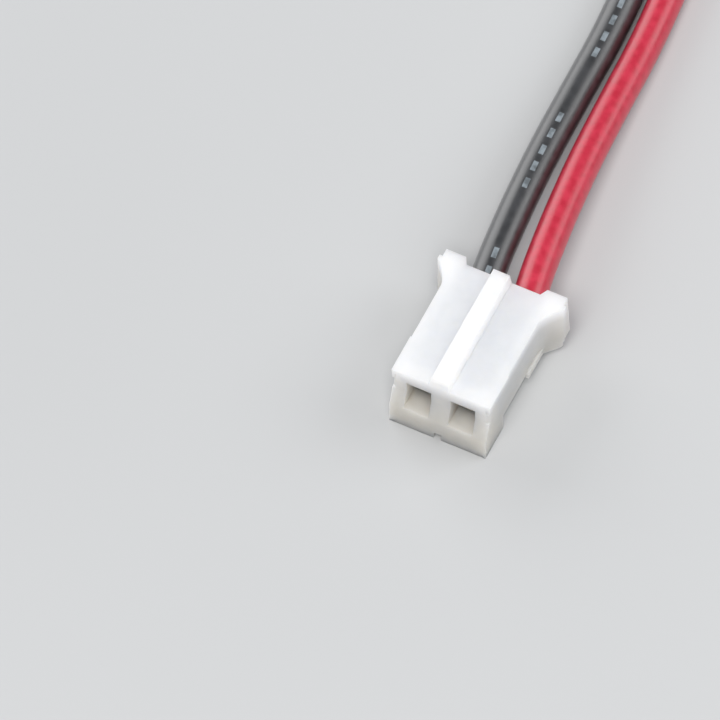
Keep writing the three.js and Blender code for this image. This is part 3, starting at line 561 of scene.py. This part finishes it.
def pouch_cover(front):
    """The flat sheet under the cell, with its side rims folded up against the cup. In front of the
    cup the rims are cut off."""
    low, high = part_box("pouch_cover")
    mesh = bmesh.new()
    corners = [mesh.verts.new((x, low.y, z)) for x, z in
               ((low.x, high.z), (low.x, low.z), (high.x, low.z), (high.x, high.z))]
    for pair in zip(corners, corners[1:]):
        mesh.edges.new(pair)
    bmesh.ops.bevel(mesh, geom=corners[1:3], offset=RIM_BEND, offset_type="OFFSET", segments=5, profile=0.5,
                    affect="VERTICES", material=-1)
    drawn = bmesh.ops.extrude_edge_only(mesh, edges=mesh.edges[:])["geom"]
    bmesh.ops.translate(mesh, verts=[v for v in drawn if isinstance(v, bmesh.types.BMVert)],
                        vec=(0, high.y - low.y, 0))
    cut_across(mesh, 1, low.y, high.y, BEND_STEP)
    cut_across(mesh, 2, low.z, high.z, BEND_STEP)
    cut_across(mesh, 0, low.x, high.x, 2 * BEND_STEP)
    cut_away = []
    for face in mesh.faces:
        place = face.calc_center_median()
        if place.y < front and place.z > low.z + FILM:
            cut_away.append(face)
    bmesh.ops.delete(mesh, geom=cut_away, context="FACES")
    for vert in mesh.verts:
        share = (vert.co.z - low.z) / (high.z - low.z)
        wave = noise.noise(Vector((0, vert.co.y / RIM_WAVE, vert.co.x))) * 0.5 + 0.5
        vert.co.z -= share ** 3 * wave * RIM_DROP
        vert.co.x -= math.copysign(share * wave * RIM_LEAN, vert.co.x)
    cover = finish_piece(mesh, "folded_foil_cover", sharp_angle=60)
    thicken(cover, FILM)
    cover.data.materials.append(foil)
    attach(cover, "root")
    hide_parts("pouch_cover")


foil = foil_laminate()
cup_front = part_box("protection_board")[1].y + BOARD_CLEARANCE
pouch_cup(cup_front)
terrace(cup_front)
pouch_cover(cup_front)

# ---- Electrode stack and flange glue ----
# Inside the pouch are coated copper and aluminium foils with separator film between them, wound
# flat. The folded rims are held by a thin strip of double-sided acrylic tape on each side.
WAVE_PERIOD = 2 * math.pi / 20     # a wave texture repeats at this distance when its scale is 1
FOIL_PITCH = 0.592 * MM            # coarser than the real foils, so that they show
GLUE_CLOUD = 0.8 * MM


def layered_stack():
    """A flat-wound stack of coated foils: charcoal graphite, with the pale separator in thin lines."""
    material = start_material("coated_electrode_foils")
    place = add_node(material, "ShaderNodeTexCoord").outputs["Object"]
    layers = add_node(material, "ShaderNodeTexWave", {
        "Vector": place, "Scale": WAVE_PERIOD / FOIL_PITCH, "Distortion": 0.4}, bands_direction="Z")
    colour = add_node(material, "ShaderNodeValToRGB", {"Fac": layers.outputs["Fac"]}, [
        (0.6, "#232427"), (0.9, "#8B8C88")])
    shader = add_node(material, "ShaderNodeBsdfPrincipled", {
        "Base Color": colour.outputs["Color"], "Roughness": 0.75})
    add_node(material, "ShaderNodeOutputMaterial", {"Surface": shader.outputs["BSDF"]})
    return material


def acrylic_tape():
    """Double-sided acrylic tape: cloudy, off-white, slightly uneven."""
    material = start_material("acrylic_tape")
    place = add_node(material, "ShaderNodeTexCoord").outputs["Object"]
    cloud = add_node(material, "ShaderNodeTexNoise", {
        "Vector": place, "Scale": 1 / GLUE_CLOUD, "Detail": 3.0})
    colour = add_node(material, "ShaderNodeValToRGB", {"Fac": cloud.outputs["Fac"]}, [
        (0.3, "#D2CDBB"), (0.7, "#E2DECF")])
    shader = add_node(material, "ShaderNodeBsdfPrincipled", {
        "Base Color": colour.outputs["Color"], "Roughness": 0.6})
    add_node(material, "ShaderNodeOutputMaterial", {"Surface": shader.outputs["BSDF"]})
    return material


def dress(node, material):
    """Gives a CAD node that keeps its own shape a material."""
    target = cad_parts[node]
    if target.material_slots:
        for place in target.material_slots:
            place.material = material
    else:
        target.data.materials.append(material)


dress("electrode_stack", layered_stack())
glue = acrylic_tape()
for side in ("left", "right"):
    dress("flange_adhesive_" + side, glue)

# ---- Tabs and their seals ----
# The cell's two terminals are flat strips, aluminium for plus and nickel for minus. Each passes
# through the seal in a sleeve of polypropylene film, and folds back on itself under the board.
SEAL_CLOUD = 0.5 * MM
ROLLED_LINES = {"line_length": 3 * MM, "line_width": 0.05 * MM}


def sealing_film():
    """Polypropylene film, once melted: milky and half clear."""
    material = start_material("polypropylene_sealing_film")
    place = add_node(material, "ShaderNodeTexCoord").outputs["Object"]
    cloud = add_node(material, "ShaderNodeTexNoise", {
        "Vector": place, "Scale": 1 / SEAL_CLOUD, "Detail": 3.0})
    colour = add_node(material, "ShaderNodeValToRGB", {"Fac": cloud.outputs["Fac"]}, [
        (0.3, "#DAD7C6"), (0.7, "#E8E6DA")])
    shader = add_node(material, "ShaderNodeBsdfPrincipled", {
        "Base Color": colour.outputs["Color"], "Roughness": 0.4, "IOR": 1.49, "Alpha": 0.8})
    add_node(material, "ShaderNodeOutputMaterial", {"Surface": shader.outputs["BSDF"]})
    return material


nickel = tin_plate("rolled_nickel_strip", "#A7A296", "#C2BDB2", **ROLLED_LINES)
aluminium = tin_plate("rolled_aluminium_strip", "#B9BBBE", "#D0D2D4", **ROLLED_LINES)
film = sealing_film()
for pole, metal, slot in (("positive", aluminium, "aluminium_tab"), ("negative", nickel, "nickel")):
    for node, name, material, finish in (("_tab", "_terminal_strip", metal, slot),
                                         ("_weld_plate", "_nickel_plate", nickel, "nickel")):
        strip = softened_copy(pole + node, pole + name, radius=STRIP_EDGE, segments=2, least_angle=30)
        strip.data.materials.append(material)
        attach(strip, "root")
        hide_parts(pole + node)
    dress(pole + "_tab_seal", film)

# ---- Protection board ----
# A narrow strip of glass-epoxy board with green solder mask on both faces, over the folded tabs and
# a strip of fish paper. Its two solder joints hold the leads.
BOARD_EDGE = 0.03 * MM
TRACK_STEP = 0.02 * MM             # a copper track lifts the mask by this
MASK_SPECK = 0.2 * MM
PLY_PITCH = 0.3946 * MM            # coarser than the real plies, so that they show
FIBRE_SIZE = 0.25 * MM
PAPER_RELIEF = 0.01 * MM


def solder_mask():
    """Green solder mask over etched copper: glossy, lighter where a copper track lies under it."""
    material = start_material("green_solder_mask")
    place = add_node(material, "ShaderNodeTexCoord").outputs["Object"]
    # At this scale the pattern's own sizes are in millimetres.
    tracks = add_node(material, "ShaderNodeTexBrick", {
        "Vector": place, "Scale": 1 / MM, "Mortar Size": 0.06, "Brick Width": 1.7, "Row Height": 0.8,
        "Color1": linear("#1F6B3F"), "Color2": linear("#26774A"), "Mortar": linear("#124A2C")})
    speck = add_node(material, "ShaderNodeTexNoise", {
        "Vector": place, "Scale": 1 / MASK_SPECK, "Detail": 2.0})
    bump = add_node(material, "ShaderNodeBump", {
        "Height": tracks.outputs["Fac"], "Distance": -TRACK_STEP, "Strength": 0.6})
    rough = add_node(material, "ShaderNodeMapRange", {
        "Value": speck.outputs["Fac"], "From Min": 0.3, "From Max": 0.7, "To Min": 0.22, "To Max": 0.32})
    shader = add_node(material, "ShaderNodeBsdfPrincipled", {
        "Base Color": tracks.outputs["Color"], "Roughness": rough.outputs["Result"],
        "Normal": bump.outputs["Normal"], "IOR": 1.5})
    add_node(material, "ShaderNodeOutputMaterial", {"Surface": shader.outputs["BSDF"]})
    return material


def glass_epoxy():
    """The routed edge of the board: yellowish resin with the woven glass cut through."""
    material = start_material("glass_epoxy_edge")
    place = add_node(material, "ShaderNodeTexCoord").outputs["Object"]
    plies = add_node(material, "ShaderNodeTexWave", {
        "Vector": place, "Scale": WAVE_PERIOD / PLY_PITCH, "Distortion": 2.0}, bands_direction="Z")
    colour = add_node(material, "ShaderNodeValToRGB", {"Fac": plies.outputs["Fac"]}, [
        (0.2, "#A89A5E"), (0.8, "#C9BF8A")])
    shader = add_node(material, "ShaderNodeBsdfPrincipled", {
        "Base Color": colour.outputs["Color"], "Roughness": 0.6, "IOR": 1.55})
    add_node(material, "ShaderNodeOutputMaterial", {"Surface": shader.outputs["BSDF"]})
    return material


def fish_paper():
    """Vulcanised fibre paper: matt blue-grey with short fibres in it."""
    material = start_material("vulcanised_fish_paper")
    place = add_node(material, "ShaderNodeTexCoord").outputs["Object"]
    fibres = add_node(material, "ShaderNodeTexNoise", {
        "Vector": place, "Scale": 1 / FIBRE_SIZE, "Detail": 6.0, "Distortion": 1.5}).outputs["Fac"]
    colour = add_node(material, "ShaderNodeValToRGB", {"Fac": fibres}, [
        (0.35, "#6C7F86"), (0.65, "#8597A0")])
    bump = add_node(material, "ShaderNodeBump", {
        "Height": fibres, "Distance": PAPER_RELIEF, "Strength": 0.5})
    shader = add_node(material, "ShaderNodeBsdfPrincipled", {
        "Base Color": colour.outputs["Color"], "Roughness": 0.85, "Normal": bump.outputs["Normal"]})
    add_node(material, "ShaderNodeOutputMaterial", {"Surface": shader.outputs["BSDF"]})
    return material


dress("insulating_paper", fish_paper())
board = softened_copy("protection_board", "protection_circuit_board", radius=BOARD_EDGE, segments=2,
                      least_angle=30)
board.data.materials.append(solder_mask())
board.data.materials.append(glass_epoxy())
for face in board.data.polygons:
    # The mask is on the two faces, and the bare resin is all round the edge.
    face.material_index = 0 if abs(face.normal.z) > 0.7 else 1
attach(board, "root")
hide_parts("protection_board")

# ---- Chips ----
# Two moulded packages with tinned gull-wing legs, a thick-film resistor and a ceramic capacitor
# with tinned end caps, all soldered to the board's top.
PACKAGE_DEPTHS = {"protection_ic": 1.0 * MM, "power_switch": 1.36 * MM}    # between the legs
CAP_WIDTH = 0.22 * MM
EPOXY_GRAIN = 0.05 * MM
EPOXY_RELIEF = 0.006 * MM
CERAMIC_SPECK = 0.06 * MM


def moulded_epoxy():
    """Filled epoxy from a matt mould: very dark grey with a fine sandy face."""
    material = start_material("moulded_black_epoxy")
    place = add_node(material, "ShaderNodeTexCoord").outputs["Object"]
    grains = add_node(material, "ShaderNodeTexNoise", {
        "Vector": place, "Scale": 1 / EPOXY_GRAIN, "Detail": 2.0}).outputs["Fac"]
    colour = add_node(material, "ShaderNodeValToRGB", {"Fac": grains}, [(0.3, "#1D1D1F"), (0.7, "#29292B")])
    bump = add_node(material, "ShaderNodeBump", {
        "Height": grains, "Distance": EPOXY_RELIEF, "Strength": 0.6})
    shader = add_node(material, "ShaderNodeBsdfPrincipled", {
        "Base Color": colour.outputs["Color"], "Roughness": 0.55, "Normal": bump.outputs["Normal"]})
    add_node(material, "ShaderNodeOutputMaterial", {"Surface": shader.outputs["BSDF"]})
    return material


def fired_ceramic(name, dark, light):
    """A fired ceramic body with a faint even speckle and a dull shine."""
    material = start_material(name)
    place = add_node(material, "ShaderNodeTexCoord").outputs["Object"]
    speck = add_node(material, "ShaderNodeTexNoise", {
        "Vector": place, "Scale": 1 / CERAMIC_SPECK, "Detail": 3.0})
    colour = add_node(material, "ShaderNodeValToRGB", {"Fac": speck.outputs["Fac"]}, [
        (0.3, dark), (0.7, light)])
    shader = add_node(material, "ShaderNodeBsdfPrincipled", {
        "Base Color": colour.outputs["Color"], "Roughness": 0.4})
    add_node(material, "ShaderNodeOutputMaterial", {"Surface": shader.outputs["BSDF"]})
    return material


def chip(node, name, body, axis, body_reach):
    """A softened copy of a chip that is tinned past its body's reach from the middle along one axis."""
    low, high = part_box(node)
    middle = (low + high) / 2
    piece = softened_copy(node, name, radius=STRIP_EDGE, segments=2, least_angle=25)
    piece.data.materials.append(body)
    piece.data.materials.append(tin)
    for face in piece.data.polygons:
        face.material_index = 1 if abs(face.center[axis] - middle[axis]) > body_reach else 0
    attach(piece, "root")
    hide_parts(node)


tin = tin_plate("matt_tin_plate", "#BFC0BF", "#D9DAD8")
epoxy = moulded_epoxy()
for node, depth in PACKAGE_DEPTHS.items():
    chip(node, node + "_package", epoxy, axis=1, body_reach=depth / 2 + TOUCH)
for node, body, slot in (
        ("sense_resistor", fired_ceramic("black_resistor_glaze", "#1B1B1C", "#262627"), "chip"),
        ("filter_capacitor", fired_ceramic("tan_capacitor_ceramic", "#8A6A48", "#9B7A56"), "ceramic")):
    chip_low, chip_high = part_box(node)
    reach = (chip_high.x - chip_low.x) / 2 - CAP_WIDTH - TOUCH
    chip(node, node + "_chip", body, axis=0, body_reach=reach)

# ---- Solder joints ----
# Each lead is soldered flat on its pad: a bright mound that wets the pad at a low angle, hollows a
# little and rises over the strands.
FOOT_HOLLOW = 0.35                 # share of the mound's half width
FOOT_HEIGHT = 0.4                  # share of its height
FOOT_STEPS = 6
CROWN_STEPS = 8
TURN_STEPS = 40
FROST_SIZE = 0.12 * MM
SOLDER_RELIEF = 0.01 * MM


def bright_solder():
    """Tin solder, frozen in air: a bright, slightly wavy skin with fine frosting."""
    material = start_material("bright_tin_solder")
    place = add_node(material, "ShaderNodeTexCoord").outputs["Object"]
    frost = add_node(material, "ShaderNodeTexNoise", {
        "Vector": place, "Scale": 1 / FROST_SIZE, "Detail": 4.0}).outputs["Fac"]
    colour = add_node(material, "ShaderNodeValToRGB", {"Fac": frost}, [(0.3, "#BDBEBD"), (0.7, "#D6D7D6")])
    rough = add_node(material, "ShaderNodeMapRange", {
        "Value": frost, "From Min": 0.3, "From Max": 0.7, "To Min": 0.15, "To Max": 0.32})
    bump = add_node(material, "ShaderNodeBump", {
        "Height": frost, "Distance": SOLDER_RELIEF, "Strength": 0.4})
    shader = add_node(material, "ShaderNodeBsdfPrincipled", {
        "Base Color": colour.outputs["Color"], "Metallic": 1.0, "Roughness": rough.outputs["Result"],
        "Normal": bump.outputs["Normal"]})
    add_node(material, "ShaderNodeOutputMaterial", {"Surface": shader.outputs["BSDF"]})
    return material


def solder_mound(node, name):
    """A spun mound of solder, one high and two wide, stretched to its joint's size. Its outline is a
    hollow arc at the foot and a round one over it."""
    low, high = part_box(node)
    middle = (low + high) / 2
    outline = [(0, 0)]
    for step in range(FOOT_STEPS + 1):
        angle = math.pi / 2 * step / FOOT_STEPS
        outline.append((1 - FOOT_HOLLOW * math.sin(angle), FOOT_HEIGHT * (1 - math.cos(angle))))
    for step in range(1, CROWN_STEPS + 1):
        angle = math.pi / 2 * step / CROWN_STEPS
        outline.append(((1 - FOOT_HOLLOW) * math.cos(angle),
                        FOOT_HEIGHT + (1 - FOOT_HEIGHT) * math.sin(angle)))
    mesh = bmesh.new()
    corners = [mesh.verts.new((x, 0, z)) for x, z in outline]
    edges = [mesh.edges.new(pair) for pair in zip(corners, corners[1:])]
    bmesh.ops.spin(mesh, geom=[*corners, *edges], cent=(0, 0, 0), axis=(0, 0, 1), angle=2 * math.pi,
                   steps=TURN_STEPS, use_merge=True)
    bmesh.ops.scale(mesh, verts=mesh.verts, vec=((high.x - low.x) / 2, (high.y - low.y) / 2, high.z - low.z))
    bmesh.ops.translate(mesh, verts=mesh.verts, vec=(middle.x, middle.y, low.z))
    mound = finish_piece(mesh, name, sharp_angle=60)
    mound.data.materials.append(solder)
    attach(mound, "root")
    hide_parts(node)


solder = bright_solder()
for colour in leads:
    solder_mound("solder_" + colour, colour + "_solder_joint")

# ---- Tape ----
# Amber polyimide tape round the front of the pack, over the board and closed at the sides. It is
# thin and half clear, clings to the cell, and has small wrinkles where nothing lies behind it.
TAPE = 0.1 * MM
TAPE_CORNER = 0.45 * MM
CORNER_ANGLE = math.radians(50)    # only edges sharper than this are rounded
NOSE_CHAMFER = 0.25 * MM
NOSE_TOP = 4.25 * MM
SHOULDER_Y = -16.5 * MM
TAPE_STEP = 0.5 * MM
LEAD_HOLE = 0.835 * MM             # radius of the hole for a lead
HOLE_FACES = 2.0 * MM              # the faces this near to a lead are cut small for its hole
CLINGING = 0.04 * MM               # depth of the folds where the tape clings
WRINKLE = 0.2 * MM                 # and where it hangs free
FREE_FROM = 1.6 * MM               # it hangs free above this height
RISE_REACH = 1.0 * MM              # the folds deepen over this distance from that height,
EDGE_REACH = 2.0 * MM              # over this one from the sides and the shoulder
LEAD_REACH = 2.5 * MM              # and over this one from a lead's middle
FOLDS = ((3.5 * MM, 0.7), (1.2 * MM, 0.3))    # size and share of the depth
TAPE_CLOUD = 2.5 * MM
BUBBLE_PITCH = 0.7 * MM
CREASE_SIZE = 1.1 * MM
TAPE_RELIEF = 0.03 * MM


def polyimide():
    """Polyimide film with silicone glue on its back: clear amber, glossy, with small trapped bubbles."""
    material = start_material("amber_polyimide_tape")
    place = add_node(material, "ShaderNodeTexCoord").outputs["Object"]
    cloud = add_node(material, "ShaderNodeTexNoise", {
        "Vector": place, "Scale": 1 / TAPE_CLOUD, "Detail": 4.0})
    colour = add_node(material, "ShaderNodeValToRGB", {"Fac": cloud.outputs["Fac"]}, [
        (0.3, "#C68A08"), (0.7, "#D39A12")])
    bubbles = add_node(material, "ShaderNodeTexVoronoi", {"Vector": place, "Scale": 1 / BUBBLE_PITCH})
    lift = add_node(material, "ShaderNodeMapRange", {
        "Value": bubbles.outputs["Distance"], "From Min": 0.0, "From Max": 0.25,
        "To Min": 1.0, "To Max": 0.0})
    creases = add_node(material, "ShaderNodeTexNoise", {
        "Vector": place, "Scale": 1 / CREASE_SIZE, "Detail": 3.0})
    height = add_node(material, "ShaderNodeMath", {
        0: lift.outputs["Result"], 1: 0.3, 2: creases.outputs["Fac"]}, operation="MULTIPLY_ADD")
    bump = add_node(material, "ShaderNodeBump", {
        "Height": height.outputs[0], "Distance": TAPE_RELIEF, "Strength": 0.5})
    shader = add_node(material, "ShaderNodeBsdfPrincipled", {
        "Base Color": colour.outputs["Color"], "Roughness": 0.16, "IOR": 1.66, "Alpha": 0.35,
        "Normal": bump.outputs["Normal"]})
    add_node(material, "ShaderNodeOutputMaterial", {"Surface": shader.outputs["BSDF"]})
    return material


def open_for_lead(mesh, centre):
    """Makes a round hole in the tape's front: cuts out a square of small faces and draws its rim
    on to a circle."""
    for axis in (0, 2):
        for share in (-1, -0.5, 0, 0.5, 1):
            place, normal = centre.copy(), Vector((0, 0, 0))
            place[axis] += share * LEAD_HOLE
            normal[axis] = 1
            near = []
            for face in mesh.faces:
                if face.normal.y < -0.9 and (face.calc_center_median() - centre).length < HOLE_FACES:
                    near.append(face)
            edges = {e for f in near for e in f.edges}
            corners = {v for f in near for v in f.verts}
            bmesh.ops.bisect_plane(mesh, geom=[*near, *edges, *corners], dist=ON_PLANE, plane_co=place,
                                   plane_no=normal)
    opening = []
    for face in mesh.faces:
        x, y, z = face.calc_center_median() - centre
        if face.normal.y < -0.9 and max(abs(x), abs(z)) < LEAD_HOLE and abs(y) < TOUCH:
            opening.append(face)
    rim = {v for f in opening for v in f.verts}
    bmesh.ops.delete(mesh, geom=opening, context="FACES")
    for vert in rim:
        if vert.is_valid and vert.is_boundary:
            vert.co = centre + (vert.co - centre).normalized() * LEAD_HOLE


def wrinkle(mesh, half_width, lead_places):
    """Draws the tape in by small folds, faint on the cell and deeper where it hangs free of the
    cell, the sides and the leads."""
    for vert in mesh.verts:
        if vert.is_boundary:
            continue
        place = vert.co
        free = (share_of(SHOULDER_Y - place.y, EDGE_REACH) * share_of(place.z - FREE_FROM, RISE_REACH)
                * share_of(half_width - abs(place.x), EDGE_REACH))
        nearest = min((place - lead_place).length for lead_place in lead_places)
        depth = CLINGING + (WRINKLE - CLINGING) * free * share_of(nearest, LEAD_REACH)
        folds = sum(abs(noise.noise(place / length)) * share for length, share in FOLDS)
        vert.co -= vert.normal * folds * depth


def tape_wrap():
    """The tape's side outline drawn across the pack, open at the back, with round corners, a hole
    for each lead and wrinkles."""
    low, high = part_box("board_tape")
    outline = [(high.y, low.z), (low.y + NOSE_CHAMFER, low.z), (low.y, low.z + NOSE_CHAMFER),
               (low.y, NOSE_TOP - NOSE_CHAMFER), (low.y + NOSE_CHAMFER, NOSE_TOP), (SHOULDER_Y, high.z),
               (high.y, high.z)]
    mesh = bmesh.new()
    side = mesh.faces.new([mesh.verts.new((low.x, y, z)) for y, z in outline])
    drawn = bmesh.ops.extrude_face_region(mesh, geom=[side], use_keep_orig=True)["geom"]
    bmesh.ops.translate(mesh, verts=[v for v in drawn if isinstance(v, bmesh.types.BMVert)],
                        vec=(high.x - low.x, 0, 0))
    bmesh.ops.recalc_face_normals(mesh, faces=mesh.faces)
    mouth = [f for f in mesh.faces if f.normal.y > 0.9]
    bmesh.ops.delete(mesh, geom=mouth, context="FACES")
    rims = [e for e in mesh.edges if len(e.link_faces) == 2 and e.calc_face_angle() > CORNER_ANGLE]
    bmesh.ops.bevel(mesh, geom=rims, offset=TAPE_CORNER, offset_type="OFFSET", segments=4, profile=0.5,
                    affect="EDGES", material=-1, clamp_overlap=True)
    for axis in range(3):
        cut_across(mesh, axis, low[axis], high[axis], TAPE_STEP)
    lead_places = [Vector((side * PAD_SPACING / 2, low.y, PACK_LEAD_Z)) for side in (-1, 1)]
    for lead_place in lead_places:
        open_for_lead(mesh, lead_place)
    wrinkle(mesh, high.x, lead_places)
    wrap = finish_piece(mesh, "amber_tape_wrap", sharp_angle=50)
    thicken(wrap, TAPE)
    wrap.data.materials.append(polyimide())
    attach(wrap, "root")
    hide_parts("board_tape")


tape_wrap()

# ---- Table and light ----
# A matt pale grey table. Two large soft lights stand behind the object, one on each side, and draw
# the two bright bands along the leads. A smaller one stands high in front and lights the roof.
TABLE_HALF = 2.0                   # half of its side, in metres
TABLE_DROP = 0.02 * MM             # keeps the table clear of the object's underside
TONE_SIZE = 60 * MM
LIT_PLACE = Vector((0, -35 * MM, 0))


def paper_table():
    """Matt paper on a table: pale neutral grey with a very slow change of tone."""
    material = start_material("matt_paper_table")
    place = add_node(material, "ShaderNodeTexCoord").outputs["Object"]
    tone = add_node(material, "ShaderNodeTexNoise", {"Vector": place, "Scale": 1 / TONE_SIZE, "Detail": 2.0})
    colour = add_node(material, "ShaderNodeValToRGB", {"Fac": tone.outputs["Fac"]}, [
        (0.3, "#BFC1C3"), (0.7, "#C6C8CA")])
    shader = add_node(material, "ShaderNodeBsdfPrincipled", {
        "Base Color": colour.outputs["Color"], "Roughness": 0.8})
    add_node(material, "ShaderNodeOutputMaterial", {"Surface": shader.outputs["BSDF"]})
    return material


def soft_light(name, place, size, power, tint):
    """A square area light that faces the middle of the leads."""
    data = bpy.data.lights.new(name, "AREA")
    data.size = size
    data.energy = power
    data.color = linear(tint)[:3]
    light = bpy.data.objects.new(name, data)
    bpy.context.collection.objects.link(light)
    light.location = place
    light.rotation_mode = "QUATERNION"
    light.rotation_quaternion = (LIT_PLACE - light.location).to_track_quat("-Z", "Y")


table = bmesh.new()
bmesh.ops.create_grid(table, x_segments=1, y_segments=1, size=TABLE_HALF)
bmesh.ops.translate(table, verts=table.verts, vec=(0, 0, -TABLE_DROP))
floor = as_object(table, "table")
floor.data.materials.append(paper_table())

soft_light("left_light", (-0.41, 0.11, 0.205), size=0.42, power=1.2, tint="#FFFFFF")
soft_light("right_light", (0.335, 0.15, 0.31), size=0.34, power=0.9, tint="#FFFFFF")
soft_light("front_light", (0.06, -0.28, 0.42), size=0.22, power=1.75, tint="#FFFCF8")

world = bpy.data.worlds.new("studio")
bpy.context.scene.world = world
world.use_nodes = True
world.node_tree.nodes["Background"].inputs["Color"].default_value = linear("#E8ECF2")
world.node_tree.nodes["Background"].inputs["Strength"].default_value = 0.3
bpy.context.scene.view_settings.view_transform = "Standard"
